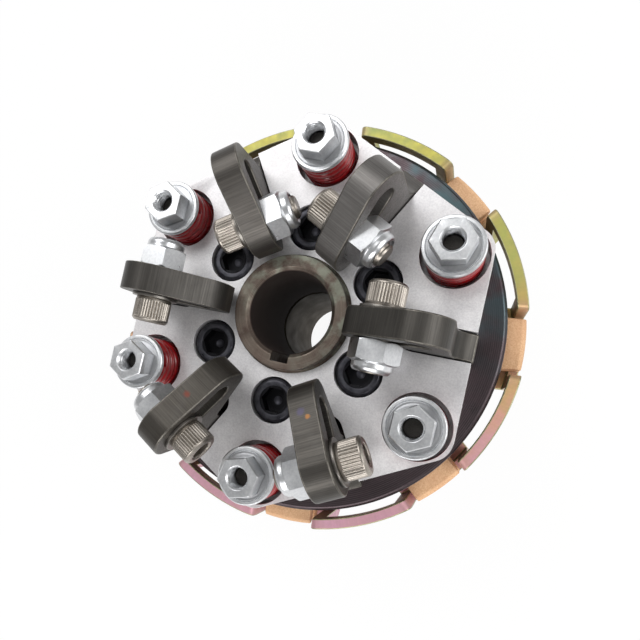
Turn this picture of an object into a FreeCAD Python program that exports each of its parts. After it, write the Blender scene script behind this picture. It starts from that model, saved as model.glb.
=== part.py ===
import FreeCAD, Part
import math
import os
import Sketcher

# A dry centrifugal disc clutch for a 7/8 inch keyed shaft. Origin on the shaft's axis at the rear end
# of the sprocket sleeve, +Z towards the lever side. Angles run anticlockwise seen from that side;
# the first lever stands on +X.

V = FreeCAD.Vector
SIZES = [
    # Shaft bore and hub
    ("bore_radius", 11.11, "hub bore, 7/8 inch shaft"),
    ("bore_chamfer", 1.1, "chamfer at the front of the bore"),
    ("key_width", 4.76, "keyway, 3/16 inch"),
    ("key_depth", 2.4, "keyway above the bore"),
    ("collar_radius", 15.4, "hub collar in front of the plate"),
    ("collar_height", 3.2, "collar above the plate"),
    ("pilot_radius", 16.0, "hub pilot inside the plate"),
    ("hub_radius", 29.0, "hub body under the plate"),
    ("rib_height", 3.0, "driving ribs above the hub body"),
    ("rib_width", 9.0, "driving ribs, across"),
    ("back_play", 3.6, "drum's wall round the backing flange of the hub"),
    ("back_thickness", 5.5, "backing flange of the hub"),
    ("recess_play", 2.19, "wide recess in the hub's rear face round the retaining ring"),
    ("recess_clearance", 0.4, "wide recess above the sleeve's boss"),
    ("nest_play", 1.6, "deep recess round the sleeve that runs in it"),
    ("nest_depth", 7.0, "deep recess that the sleeve runs in"),
    # Carrier plate
    ("plate_inset", 9.85, "drum's wall in to each flat of the six-sided plate"),
    ("plate_corner", 5.7, "rounding of the plate's corners"),
    ("plate_thickness", 15.0, "carrier plate"),
    ("pilot_clearance", 0.05, "plate hole round the pilot"),
    ("spring_inset", 3.25, "circle through the springs inside the plate's flats"),
    ("pocket_play", 1.2, "spring pocket round the spring"),
    ("pocket_depth", 8.0, "spring pocket"),
    ("stud_clearance", 0.5, "plate hole round each stud"),
    ("slot_clearance", 0.3, "lever slot, each side of the lever"),
    ("slot_lead", 3.2, "lever slot's inner end beyond the lever's leg"),
    # Carrier screws
    ("screw_circle", 23.8, "middle of the plate to each screw"),
    ("screw_head_radius", 5.95, "5/16 inch socket screw"),
    ("screw_head_height", 7.9, "5/16 inch socket screw"),
    ("screw_socket", 3.175, "middle of the socket to each flat"),
    ("screw_radius", 3.95, "5/16 inch screw"),
    ("screw_length", 17.5, "under the head"),
    ("screw_sink", 0.4, "head below the plate's face"),
    ("screw_hole_play", 0.25, "plate hole round the screw"),
    ("screw_socket_depth", 4.0, "socket of the screw"),
    ("thread_end", 0.6, "thread in the hub beyond each screw's end"),
    ("counterbore_play", 0.4, "counterbore round each screw's head"),
    ("thread_clearance", 0.03, "round each screw's and stud's thread"),
    # Levers and their pins
    ("lever_thickness", 7.1, "across the lever"),
    ("pivot_inset", 5.75, "plate's flat in to each pivot"),
    ("pivot_depth", 9.0, "pivot below the plate's face"),
    ("pin_radius", 2.38, "3/16 inch pivot pin"),
    ("pin_length", 19.0, "pivot pin"),
    ("pin_clearance", 0.05, "lever eye and pin seat round the pin"),
    ("eye_radius", 5.2, "lever round its pivot"),
    ("nose_gap", 0.6, "hub collar out to each lever's nose"),
    ("lever_rise", 33.0, "pivot up to the lever's top"),
    ("lever_back", 1.3, "pivot out to the lever's back"),
    ("nose_top", 23.2, "pivot up to the top of the nose"),
    ("sole_gap", 0.6, "plate's face up to the lever's underside"),
    ("foot_reach", 6.2, "pivot out to the lever's foot"),
    ("foot_rise", 6.6, "pivot up to the top of the foot"),
    ("relief_radius", 6.4, "hollow between back and foot"),
    ("toe_reach", 3.9, "pivot out to the toe's middle"),
    ("toe_gap", 1.0, "toe above the pressure plate"),
    ("toe_radius", 1.4, "rounding of the toe"),
    ("leg_flare", 4.2, "leg's inner edge beyond the eye at the underside"),
    ("crown_drop", 6.8, "lever's top down to where its back rounds over"),
    ("crown_run", 10.8, "lever's back in to where the band starts"),
    ("crown_fall", 0.9, "lever's top down to the start of the band"),
    ("crown_bow", 3.1, "rounding of the top off its chord"),
    ("nose_run", 3.4, "nose out to the band's lower end"),
    ("nose_drop", 6.4, "top of the nose down to its upright face"),
    ("nose_bow", 0.9, "rounding of the nose off its chord"),
    ("chin_run", 3.9, "nose out to the flat of the underside"),
    ("chin_rise", 4.6, "underside up to the nose's upright face"),
    ("chin_lift", 0.9, "slope of the underside"),
    ("chin_bow", 1.1, "rounding under the nose off its chord"),
    ("slot_wall", 7.4, "lever's nose out to the slot's inner end"),
    ("slot_in_rise", 17.9, "pivot up to the slot's inner end"),
    ("slot_out_reach", 6.1, "pivot in to the slot's outer end"),
    ("slot_out_rise", 24.1, "pivot up to the slot's outer end"),
    ("bolt_slot_play", 0.15, "lever's slot each side of the bolt"),
    # Weight bolts, 1/4 inch
    ("bolt_radius", 3.15, "1/4 inch bolt"),
    ("bolt_end", 0.1, "bolt beyond its nut"),
    ("bolt_head_radius", 4.76, "bolt head"),
    ("bolt_head_height", 6.35, "bolt head"),
    ("bolt_socket", 2.38, "middle of the socket to each flat"),
    ("bolt_socket_depth", 3.0, "socket of the bolt"),
    ("bolt_edge", 0.5, "chamfer of the bolt's head"),
    ("washer_radius", 5.9, "thin washer under the head"),
    ("washer_thickness", 0.8, "thin washer under the head"),
    ("bolt_clearance", 0.04, "washer and nut round the bolt"),
    ("lock_nut_flat", 5.555, "middle of the lock nut to each flat"),
    ("lock_nut_height", 7.9, "lock nut with its collar"),
    ("lock_nut_hex", 5.4, "six-sided length of the lock nut"),
    ("lock_collar_radius", 4.9, "round collar of the lock nut"),
    ("lock_collar_edge", 0.9, "rolled edge of the collar"),
    # Springs, studs and flanged nuts
    ("spring_outer", 7.3, "coil outside"),
    ("wire_diameter", 2.6, "spring wire"),
    ("coil_count", 6, "coils of each spring"),
    ("coil_swell", 0.65, "coil outside above the groove between coils"),
    ("spring_stand", 7.75, "spring above the plate"),
    ("stud_radius", 2.4, "stud"),
    ("stud_reach", 1.0, "stud inside the nut above its flange"),
    ("flange_radius", 7.5, "nut flange"),
    ("flange_thickness", 1.5, "nut flange at its edge"),
    ("nut_flat", 4.7625, "middle of the flanged nut to each flat"),
    ("nut_height", 7.35, "whole flanged nut"),
    # Plates and discs
    ("pressure_inset", 2.4, "drum's wall round the pressure plate"),
    ("pressure_thickness", 6.7, "pressure plate"),
    ("pressure_play", 0.8, "pressure plate round the hub's ribs"),
    ("pressure_chamfer", 0.8, "pressure plate's front edge"),
    ("stud_seat", 0.5, "stud end above the pressure plate's rear face"),
    ("disc_inset", 2.6, "drum's wall round a friction disc between its ears"),
    ("disc_play", 1.0, "friction disc round the hub's ribs"),
    ("disc_thickness", 3.2, "friction disc"),
    ("plate_gap", 0.2, "between discs and plates at rest"),
    ("floater_inset", 3.6, "drum's wall round the floater plate"),
    ("floater_thickness", 2.4, "floater plate"),
    ("rib_clearance", 0.3, "floater round the hub and its ribs"),
    ("ear_width", 14.0, "ear of a friction disc"),
    ("ear_inset", 0.2, "ear's end inside the drum's outer face"),
    ("ear_edge", 1.0, "rounding of the ear's end"),
    # Drum
    ("finger_count", 8, "fingers of the drum and ears of each disc"),
    ("drum_radius", 59.5, "drum outside"),
    ("drum_wall", 2.9, "drum wall"),
    ("drum_base", 3.0, "drum base"),
    ("base_height", 25.2, "rear end of the sleeve to the drum base"),
    ("base_gap", 1.0, "drum base to the hub's flange"),
    ("finger_rise", 5.9, "finger tops above the pressure plate's rear face"),
    ("finger_bar", 4.3, "bar across the top of each finger"),
    ("finger_leg", 3.6, "legs of each finger"),
    ("ear_play", 1.6, "slot each side of an ear"),
    ("slot_floor", 3.4, "slot floor above the base"),
    ("waist_inset", 0.5, "base behind each window inside the hub's flange"),
    ("base_bend", 2.0, "chamfer round the base"),
    # Sleeve, bushing, washer and ring
    ("sleeve_radius", 15.0, "sleeve in front of the drum"),
    ("tail_radius", 14.0, "sleeve behind the sprocket"),
    ("boss_radius", 16.0, "boss that the drum is pressed on"),
    ("boss_reach", 2.4, "boss in front of the drum base"),
    ("stop_radius", 22.0, "flange behind the drum"),
    ("stop_thickness", 3.0, "flange behind the drum"),
    ("chain_pitch", 9.525, "chain pitch, 3/8 inch"),
    ("roller_radius", 2.54, "chain roller"),
    ("tooth_count", 12, "sprocket teeth"),
    ("tooth_width", 4.3, "sprocket teeth"),
    ("tooth_tip", 1.4, "sprocket tooth across its tip"),
    ("sprocket_height", 13.6, "rear end of the sleeve to the teeth"),
    ("bushing_wall", 1.55, "bushing"),
    ("bushing_play", 0.04, "bushing round the shaft"),
    ("bushing_inset", 0.5, "bushing below each end of the sleeve"),
    ("fit_clearance", 0.01, "pressed pieces"),
    ("thrust_thickness", 1.0, "thrust washer"),
    ("thrust_play", 0.2, "thrust washer under the hub"),
    ("thrust_inset", 1.0, "thrust washer inside the recess, and round the shaft"),
    ("ring_width", 2.6, "retaining ring, across"),
    ("ring_thickness", 1.2, "retaining ring"),
    ("ring_groove", 0.8, "groove for the retaining ring"),
    ("ring_opening", 8.0, "opening of the retaining ring"),
]

STATIONS = 6
TURN = 360.0 / STATIONS
KEYWAY_ANGLE = 270.0
EAR_ANGLE = 5.2
OVERCUT = 1.0
# A nut's corners are turned away this far beyond its flats, as a share of the flat, at this slope
BEVEL_REACH = 0.2
BEVEL_SLOPE = 0.577
# How far each lever is swung out, and where its weight bolt sits along the slot (0 inner, 1 outer end)
LEVER_TILT = [0.0, 0.0, 0.0, 0.0, 12.0, 13.0]
BOLT_PLACE = [0.15, 0.2, 0.05, 0.9, 0.95, 1.0]
# How far each flanged nut is turned, from the corner nearest +X
NUT_TURN = [11.7, 56.5, 26.8, 29.8, 18.2, 28.9]

doc = FreeCAD.newDocument("disc_clutch")
sheet = doc.addObject("Spreadsheet::Sheet", "Sizes")
for row, (alias, value, note) in enumerate(SIZES, start=1):
    sheet.set(f"A{row}", note)
    sheet.set(f"B{row}", str(value))
    sheet.setAlias(f"B{row}", alias)
doc.recompute()

parts = []


def size(alias):
    """The value of one cell."""
    return float(sheet.get(alias))


def cell(text):
    """An expression in which every word is a cell of the sheet."""
    words = text.replace("(", " ( ").replace(")", " ) ").split()
    return " ".join(f"Sizes.{word}" if word[0].isalpha() else word for word in words)


# Heights of the stack above the rear end of the sleeve, as expressions
REST_GAP = " + plate_gap"
AT_FLANGE = "base_height + drum_base + base_gap"
AT_REAR_DISC = AT_FLANGE + " + back_thickness" + REST_GAP
AT_FLOATER = AT_REAR_DISC + " + disc_thickness" + REST_GAP
AT_FRONT_DISC = AT_FLOATER + " + floater_thickness" + REST_GAP
AT_PRESSURE = AT_FRONT_DISC + " + disc_thickness" + REST_GAP
AT_PLATE = AT_PRESSURE + " + pressure_thickness"
AT_TOP = AT_PLATE + " + plate_thickness"
# Lengths that follow from the stack, from the rear face of the piece they belong to
STACK = "back_thickness + 2 * disc_thickness + floater_thickness + 4 * plate_gap"
HUB_LENGTH = STACK + " + pressure_thickness"
DRUM_DEPTH = "drum_base + base_gap + " + STACK + " + finger_rise"
SLEEVE_LENGTH = AT_FLANGE + " + nest_depth - thrust_thickness - thrust_play"
RECESS_DEPTH = "boss_reach - base_gap + recess_clearance"
BOLT_LENGTH = "washer_thickness + lever_thickness + lock_nut_height + bolt_end"
# Radii of what fits round, or inside, another piece
RIB_RADIUS = "hub_radius + rib_height"
NEST_RADIUS = "sleeve_radius + nest_play"
RING_INNER = "boss_radius - ring_groove + fit_clearance"
RING_OUTER = RING_INNER + " + ring_width"
RECESS_RADIUS = RING_OUTER + " + recess_play"
BUSHING_INNER = "bore_radius + bushing_play"
BUSHING_OUTER = BUSHING_INNER + " + bushing_wall"
EAR_REACH = "drum_radius - ear_inset"
DRUM_INNER = "drum_radius - drum_wall"
BACK_RADIUS = DRUM_INNER + " - back_play"
DISC_RADIUS = DRUM_INNER + " - disc_inset"
FLOATER_RADIUS = DRUM_INNER + " - floater_inset"
PRESSURE_RADIUS = DRUM_INNER + " - pressure_inset"
PLATE_APOTHEM = DRUM_INNER + " - plate_inset"
SPRING_CIRCLE = PLATE_APOTHEM + " - spring_inset"
PIVOT_RADIUS = PLATE_APOTHEM + " - pivot_inset"
LEVER_REACH = PIVOT_RADIUS + " - collar_radius - nose_gap"
SLOT_IN_REACH = LEVER_REACH + " - slot_wall"


def height(text):
    """The number that a sum and difference of cells comes to."""
    total, sign = 0.0, 1
    for word in text.split():
        if word in "+-":
            sign = 1 if word == "+" else -1
        else:
            total += sign * size(word)
    return total


def new_body(label, level=None, pattern=False):
    """A body that is a sub-part raised to a level of the stack, or the pattern for a group of pieces."""
    body = doc.addObject("PartDesign::Body", label)
    body.Label = label
    if level:
        body.setExpression("Placement.Base.z", cell(level))
    if not pattern:
        parts.append(body)
    return body


def origin(body, role):
    return next(item for item in body.Origin.OriginFeatures if item.Role == role)


def sketch_on(body, role, name, lift=None, turn=0.0):
    """A sketch on one of the body's own planes, turned on it and lifted off it by an expression."""
    sketch = body.newObject("Sketcher::SketchObject", name)
    sketch.AttachmentSupport = [(origin(body, role), "")]
    sketch.MapMode = "FlatFace"
    sketch.AttachmentOffset = FreeCAD.Placement(V(0, 0, 0), FreeCAD.Rotation(V(0, 0, 1), turn))
    if lift:
        sketch.setExpression("AttachmentOffset.Base.z", cell(lift))
    return sketch


def bind(sketch, kind, *where, to):
    """A dimension of the sketch that follows the sheet."""
    index = sketch.addConstraint(Sketcher.Constraint(kind, *where, 1.0))
    sketch.setExpression(f"Constraints[{index}]", cell(to))


def outline(sketch, corners):
    """A closed run of lines whose corners lie at cell expressions, measured from the sketch's origin."""
    count = len(corners)
    first = sketch.GeometryCount
    swings = [math.tau * i / count for i in range(count)]
    rough = [V(math.cos(swing), math.sin(swing), 0) for swing in swings]
    sketch.addGeometry([Part.LineSegment(rough[i - 1], rough[i]) for i in range(count)], False)
    for i, (x, y) in enumerate(corners):
        sketch.addConstraint(Sketcher.Constraint("Coincident", first + i, 2, first + (i + 1) % count, 1))
        bind(sketch, "DistanceX", -1, 1, first + i, 1, to=x)
        bind(sketch, "DistanceY", -1, 1, first + i, 1, to=y)


def rectangle(sketch, left, right, half_width):
    """A rectangle on the sketch's x axis, between two distances along it."""
    low = f"0 - ( {half_width} )"
    outline(sketch, [(left, low), (right, low), (right, half_width), (left, half_width)])


def circle(sketch, radius, along=None):
    """A circle about the sketch's origin, or at a distance along its x axis."""
    index = sketch.addGeometry(Part.Circle(V(1, 0, 0), V(0, 0, 1), 1.0), False)
    bind(sketch, "Radius", index, to=radius)
    if along:
        bind(sketch, "DistanceX", -1, 1, index, 3, to=along)
        sketch.addConstraint(Sketcher.Constraint("PointOnObject", index, 3, -1))
    else:
        sketch.addConstraint(Sketcher.Constraint("Coincident", index, 3, -1, 1))


def hexagon(sketch, half_flats, turn=0.0):
    """A hexagon about the sketch's origin from half its width across flats, a corner at the given turn."""
    corner = half_flats / math.cos(math.radians(30))
    spokes = [math.radians(turn + 60 * i) for i in range(6)]
    points = [V(corner * math.cos(spoke), corner * math.sin(spoke), 0) for spoke in spokes]
    sketch.addGeometry([Part.LineSegment(points[i], points[(i + 1) % 6]) for i in range(6)], False)


def path(sketch, start, *steps):
    """A closed outline: a step of two numbers is a line to that point, one of four an arc by way of the
    first point to the second."""
    here = V(*start, 0)
    for step in steps:
        end = V(*step[-2:], 0)
        if len(step) == 4:
            sketch.addGeometry(Part.Arc(here, V(*step[:2], 0), end), False)
        else:
            sketch.addGeometry(Part.LineSegment(here, end), False)
        here = end


def turned(body, name, corners, cut=False):
    """A profile of (radius, height) turned about the body's own Z axis, as a solid or as a cut."""
    sketch = sketch_on(body, "XZ_Plane", name + "_profile")
    outline(sketch, corners)
    feature = body.newObject("PartDesign::Groove" if cut else "PartDesign::Revolution", name)
    feature.Profile = sketch
    feature.ReferenceAxis = (origin(body, "Z_Axis"), [""])
    feature.Angle = 360.0
    return feature


def extruded(body, name, sketch, length, cut=False, flip=False, both_ways=False):
    """A sketch padded, or pocketed, by a length that follows the sheet."""
    feature = body.newObject("PartDesign::Pocket" if cut else "PartDesign::Pad", name)
    feature.Profile = sketch
    feature.setExpression("Length", cell(length))
    feature.Reversed = flip
    if both_ways:
        feature.SideType = "Symmetric"
    return feature


def patterned(body, name, features, count):
    """The features repeated evenly about the body's Z axis."""
    doc.recompute()
    pattern = body.newObject("PartDesign::PolarPattern", name)
    pattern.Originals = features
    pattern.Axis = (origin(body, "Z_Axis"), [""])
    pattern.Angle = 360.0
    pattern.Occurrences = count
    body.Tip = pattern
    doc.recompute()
    return pattern


def grouped(label, shapes):
    """Alike loose pieces that share one node."""
    group = doc.addObject("Part::Feature", label)
    group.Label = label
    group.Shape = Part.makeCompound(shapes)
    parts.append(group)
    return group


def tube(label, outer, inner, length):
    """A plain ring cut from a bar, its sizes bound to the sheet."""
    bar = doc.addObject("Part::Cylinder", label + "_bar")
    bar.setExpression("Radius", cell(outer))
    bar.setExpression("Height", cell(length))
    hole = doc.addObject("Part::Cylinder", label + "_hole")
    hole.setExpression("Radius", cell(inner))
    hole.setExpression("Height", cell(length))
    ring = doc.addObject("Part::Cut", label)
    ring.Base = bar
    ring.Tool = hole
    ring.Label = label
    parts.append(ring)
    return ring


def station(index, radius, level):
    """The place of one of the six stations on a circle, turned to face outwards."""
    turn = FreeCAD.Rotation(V(0, 0, 1), TURN * index)
    return FreeCAD.Placement(turn.multVec(V(radius, 0, 0)) + V(0, 0, level), turn)


def between_stations(index, radius, level):
    """The place of a spring or screw, half a step on from the lever of that index."""
    return station(index + 0.5, radius, level)


def make_hub():
    """Hub turned in one with its backing flange, six driving ribs, six threads and the keyway."""
    body = new_body("hub", AT_FLANGE)
    top = HUB_LENGTH + " + plate_thickness"
    face = top + " + collar_height"
    turned(body, "hub_turning", [
        (RECESS_RADIUS, "0"), (BACK_RADIUS, "0"), (BACK_RADIUS, "back_thickness"),
        ("hub_radius", "back_thickness"), ("hub_radius", HUB_LENGTH), ("pilot_radius", HUB_LENGTH),
        ("pilot_radius", top), ("collar_radius", top), ("collar_radius", face),
        ("bore_radius + bore_chamfer", face), ("bore_radius", face + " - bore_chamfer"),
        ("bore_radius", "nest_depth"), (NEST_RADIUS, "nest_depth"), (NEST_RADIUS, RECESS_DEPTH),
        (RECESS_RADIUS, RECESS_DEPTH)])
    key = sketch_on(body, "XY_Plane", "keyway_outline", "nest_depth", KEYWAY_ANGLE)
    rectangle(key, "0", "bore_radius + key_depth", "key_width / 2")
    extruded(body, "keyway", key, face, cut=True, flip=True)
    ribs = sketch_on(body, "XY_Plane", "rib_outline", turn=TURN / 2)
    rectangle(ribs, "hub_radius - rib_height", RIB_RADIUS, "rib_width / 2")
    rib = extruded(body, "rib", ribs, HUB_LENGTH)
    holes = sketch_on(body, "XY_Plane", "thread_outline", HUB_LENGTH, TURN / 2)
    circle(holes, "screw_radius + thread_clearance", along="screw_circle")
    depth = "screw_length + screw_sink + screw_head_height - plate_thickness + thread_end"
    thread = extruded(body, "thread", holes, depth, cut=True)
    patterned(body, "hub_pattern", [rib, thread], STATIONS)


def make_carrier_plate():
    """Six-sided plate: at each flat an open lever slot over a pin seat, at each corner a spring pocket
    and a counterbored screw hole."""
    body = new_body("carrier_plate", AT_PLATE)
    shape = sketch_on(body, "XY_Plane", "plate_outline")
    hexagon(shape, height(PLATE_APOTHEM), TURN / 2)
    plate = extruded(body, "plate", shape, "plate_thickness")
    doc.recompute()
    edges = enumerate(plate.Shape.Edges, start=1)
    corners = [f"Edge{i}" for i, edge in edges if abs(edge.tangentAt(0).z) > 0.5]
    rounding = body.newObject("PartDesign::Fillet", "plate_corners")
    rounding.Base = (plate, corners)
    rounding.setExpression("Radius", cell("plate_corner"))
    bore = sketch_on(body, "XY_Plane", "pilot_hole_outline")
    circle(bore, "pilot_radius + pilot_clearance")
    extruded(body, "pilot_hole", bore, "plate_thickness", cut=True, flip=True)
    holes = [("spring_pocket", "spring_outer + pocket_play", SPRING_CIRCLE, "pocket_depth"),
             ("stud_hole", "stud_radius + stud_clearance", SPRING_CIRCLE, "plate_thickness"),
             ("counterbore", "screw_head_radius + counterbore_play", "screw_circle",
              "screw_head_height + screw_sink"),
             ("screw_hole", "screw_radius + screw_hole_play", "screw_circle", "plate_thickness")]
    cuts = []
    for name, radius, along, depth in holes:
        sketch = sketch_on(body, "XY_Plane", name + "_outline", "plate_thickness", TURN / 2)
        circle(sketch, radius, along=along)
        cuts.append(extruded(body, name, sketch, depth, cut=True))
    half = size("lever_thickness") / 2 + size("slot_clearance")
    pivot = height(PIVOT_RADIUS)
    inner = pivot - size("eye_radius") - size("leg_flare") - size("slot_lead")
    outer = height(PLATE_APOTHEM) + OVERCUT
    slot = sketch_on(body, "XY_Plane", "lever_slot_outline")
    path(slot, (outer, half), (inner + half, half), (inner, 0, inner + half, -half), (outer, -half),
         (outer, half))
    cuts.append(extruded(body, "lever_slot", slot, "plate_thickness", cut=True, flip=True))
    rise = size("plate_thickness") - size("pivot_depth")
    seat_radius = size("pin_radius") + size("pin_clearance")
    seat = sketch_on(body, "XZ_Plane", "pin_seat_outline")
    path(seat, (pivot - seat_radius, -OVERCUT), (pivot - seat_radius, rise),
         (pivot, rise + seat_radius, pivot + seat_radius, rise), (pivot + seat_radius, -OVERCUT),
         (pivot - seat_radius, -OVERCUT))
    cuts.append(extruded(body, "pin_seat", seat, "pin_length + 2 * pin_clearance", cut=True, both_ways=True))
    patterned(body, "plate_pattern", cuts, STATIONS)


def make_screws():
    """Six socket screws sunk in the plate."""
    screw = new_body("screw_pattern", pattern=True)
    head = sketch_on(screw, "XY_Plane", "screw_head_outline")
    circle(head, "screw_head_radius")
    extruded(screw, "screw_head", head, "screw_head_height")
    shank = sketch_on(screw, "XY_Plane", "screw_shank_outline")
    circle(shank, "screw_radius")
    extruded(screw, "screw_shank", shank, "screw_length", flip=True)
    socket = sketch_on(screw, "XY_Plane", "screw_socket_outline", "screw_head_height")
    hexagon(socket, size("screw_socket"))
    extruded(screw, "screw_socket_cut", socket, "screw_socket_depth", cut=True)
    doc.recompute()
    seat = height(AT_TOP) - size("screw_sink") - size("screw_head_height")
    grouped("carrier_screws", [screw.Shape.transformed(between_stations(i, size("screw_circle"), seat).Matrix)
                               for i in range(STATIONS)])


def make_pins():
    """Six pivot pins, each across a lever slot under the half-round roof of its seat."""
    length = size("pin_length")
    level = height(AT_TOP) - size("pivot_depth")
    pins = []
    for i in range(STATIONS):
        pin = Part.makeCylinder(size("pin_radius"), length, V(0, -length / 2, 0), V(0, 1, 0))
        pins.append(pin.transformed(station(i, height(PIVOT_RADIUS), level).Matrix))
    grouped("lever_pins", pins)


def lever_place(index):
    """The place of a lever's pivot, the lever swung out by its tilt."""
    place = station(index, height(PIVOT_RADIUS), height(AT_TOP) - size("pivot_depth"))
    return place * FreeCAD.Placement(V(0, 0, 0), FreeCAD.Rotation(V(0, 1, 0), LEVER_TILT[index]))


def bow(start, end, rise):
    """An arc step of a path, bowed out to the right of its chord by a rise."""
    chord = V(end[0] - start[0], end[1] - start[1], 0)
    out = V(chord.y, -chord.x, 0).normalize() * rise
    return (start[0] + end[0]) / 2 + out.x, (start[1] + end[1]) / 2 + out.y, *end


def lever_outline(sketch):
    """Side of a lever about its pivot: the underside, the leg down to the eye, toe and foot outside, a
    hollow up to the back, the rounded top and the sloping band down to the nose."""
    reach, rise, back = height(LEVER_REACH), size("lever_rise"), size("lever_back")
    nose_top, eye = size("nose_top"), size("eye_radius")
    sole = size("pivot_depth") + size("sole_gap")
    foot, hollow = size("foot_reach"), size("relief_radius")
    toe_x, toe = size("toe_reach"), size("toe_radius")
    toe_z = size("plate_thickness") - size("pivot_depth") - size("toe_gap") - toe
    hollow_x = back + hollow
    hollow_z = size("foot_rise") + hollow
    foot_z = hollow_z - math.sqrt(hollow ** 2 - (hollow_x - foot) ** 2)
    diagonal = math.sqrt(0.5)
    crown_start = back, rise - size("crown_drop")
    crown_end = back - size("crown_run"), rise - size("crown_fall")
    nose_start = -reach + size("nose_run"), nose_top
    nose_end = -reach, nose_top - size("nose_drop")
    chin_start = -reach, sole + size("chin_rise")
    chin_end = -reach + size("chin_run"), sole + size("chin_lift")
    path(sketch, chin_end,
         (-eye - size("leg_flare"), sole),
         (-eye, 0),
         (-eye * diagonal, -eye * diagonal, 0, -eye),
         (toe_x, -toe_z - toe),
         (toe_x + toe * diagonal, -toe_z - toe * diagonal, toe_x + toe, -toe_z),
         (foot, 0),
         (foot, foot_z),
         (hollow_x - hollow * diagonal, hollow_z - hollow * diagonal, back, hollow_z),
         crown_start,
         bow(crown_start, crown_end, size("crown_bow")),
         nose_start,
         bow(nose_start, nose_end, size("nose_bow")),
         chin_start,
         bow(chin_start, chin_end, size("chin_bow")))


def slot_ends():
    """The two ends of the lever's slot about the pivot."""
    inner = V(-height(SLOT_IN_REACH), 0, size("slot_in_rise"))
    outer = V(-size("slot_out_reach"), 0, size("slot_out_rise"))
    return inner, outer


def slot_outline(sketch):
    """The round-ended slot that the weight bolt is set along."""
    inner, outer = slot_ends()
    half = size("bolt_radius") + size("bolt_slot_play")
    along = (outer - inner).normalize() * half
    out_x, out_z, in_x, in_z = outer.x, outer.z, inner.x, inner.z
    path(sketch, (in_x - along.z, in_z + along.x),
         (out_x - along.z, out_z + along.x),
         (out_x + along.x, out_z + along.z, out_x + along.z, out_z - along.x),
         (in_x + along.z, in_z - along.x),
         (in_x - along.x, in_z - along.z, in_x - along.z, in_z + along.x))


def make_lever(index):
    """One lever, its outline, eye and slot cut from plate."""
    body = new_body(f"lever_{index + 1}")
    side = sketch_on(body, "XZ_Plane", "lever_outline")
    lever_outline(side)
    slot_outline(side)
    circle(side, "pin_radius + pin_clearance")
    extruded(body, "lever", side, "lever_thickness", both_ways=True)
    body.Placement = lever_place(index)


def on_lever(index, offset, turn):
    """A place on the axis of the weight bolt, at an offset across the lever and turned to face that way."""
    inner, outer = slot_ends()
    point = inner + (outer - inner) * BOLT_PLACE[index] + V(0, offset, 0)
    return lever_place(index) * FreeCAD.Placement(point, FreeCAD.Rotation(V(1, 0, 0), turn))


def make_weight_bolt(index):
    """Cap bolt through the lever's slot."""
    body = new_body(f"weight_bolt_{index + 1}")
    head = sketch_on(body, "XY_Plane", "bolt_head_outline")
    circle(head, "bolt_head_radius")
    extruded(body, "bolt_head", head, "bolt_head_height")
    shank = sketch_on(body, "XY_Plane", "bolt_shank_outline")
    circle(shank, "bolt_radius")
    extruded(body, "bolt_shank", shank, BOLT_LENGTH, flip=True)
    socket = sketch_on(body, "XY_Plane", "bolt_socket_outline", "bolt_head_height")
    hexagon(socket, size("bolt_socket"))
    extruded(body, "bolt_socket_cut", socket, "bolt_socket_depth", cut=True)
    turned(body, "bolt_chamfer", [
        ("bolt_head_radius - bolt_edge", "bolt_head_height"),
        ("bolt_head_radius + bolt_edge", "bolt_head_height"),
        ("bolt_head_radius + bolt_edge", "bolt_head_height - 2 * bolt_edge")], cut=True)
    body.Placement = on_lever(index, size("lever_thickness") / 2 + size("washer_thickness"), -90)


def make_weight_washer(index):
    """Thin washer under the bolt's head."""
    washer = tube(f"weight_washer_{index + 1}", "washer_radius", "bolt_radius + bolt_clearance",
                  "washer_thickness")
    washer.Placement = on_lever(index, size("lever_thickness") / 2, -90)


def make_weight_nut(index):
    """Lock nut with a round collar, on the other side of the lever."""
    body = new_body(f"weight_nut_{index + 1}")
    turned(body, "collar", [
        ("bolt_radius + bolt_clearance", "0"), ("lock_collar_radius", "0"),
        ("lock_collar_radius", "lock_nut_height - lock_collar_edge"),
        ("lock_collar_radius - lock_collar_edge", "lock_nut_height"),
        ("bolt_radius + bolt_clearance", "lock_nut_height")])
    flats = sketch_on(body, "XY_Plane", "lock_nut_outline")
    hexagon(flats, size("lock_nut_flat"))
    circle(flats, "bolt_radius + bolt_clearance")
    extruded(body, "lock_nut_flats", flats, "lock_nut_hex")
    body.Placement = on_lever(index, -size("lever_thickness") / 2, 90)


def make_studs():
    """Six studs from the pressure plate up through the carrier plate into the flanged nuts."""
    foot = height(AT_PRESSURE) + size("stud_seat")
    head = height(AT_TOP) + size("spring_stand") + size("flange_thickness") + size("stud_reach")
    stud = Part.makeCylinder(size("stud_radius"), head - foot)
    grouped("spring_studs", [stud.transformed(between_stations(i, height(SPRING_CIRCLE), foot).Matrix)
                             for i in range(STATIONS)])


def make_flanged_nuts():
    """Six nuts with round flanges that hold the springs down on their studs."""
    nut = new_body("flanged_nut_pattern", pattern=True)
    bore = "stud_radius + thread_clearance"
    turned(nut, "flange", [
        (bore, "0"), ("flange_radius", "0"), ("flange_radius", "flange_thickness"),
        (bore, "flange_thickness")])
    flats = sketch_on(nut, "XY_Plane", "nut_outline")
    hexagon(flats, size("nut_flat"))
    circle(flats, bore)
    extruded(nut, "nut_flats", flats, "nut_height")
    turned(nut, "nut_bevel", [
        ("nut_flat", "nut_height"), (f"nut_flat * ( 1 + {BEVEL_REACH} )", "nut_height"),
        (f"nut_flat * ( 1 + {BEVEL_REACH} )", f"nut_height - nut_flat * {BEVEL_REACH} * {BEVEL_SLOPE}")],
        cut=True)
    doc.recompute()
    level = height(AT_TOP) + size("spring_stand")
    nuts = []
    for i in range(STATIONS):
        place = between_stations(i, height(SPRING_CIRCLE), level)
        place.Rotation = FreeCAD.Rotation(V(0, 0, 1), NUT_TURN[i])
        nuts.append(nut.Shape.transformed(place.Matrix))
    grouped("spring_nuts", nuts)


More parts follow.
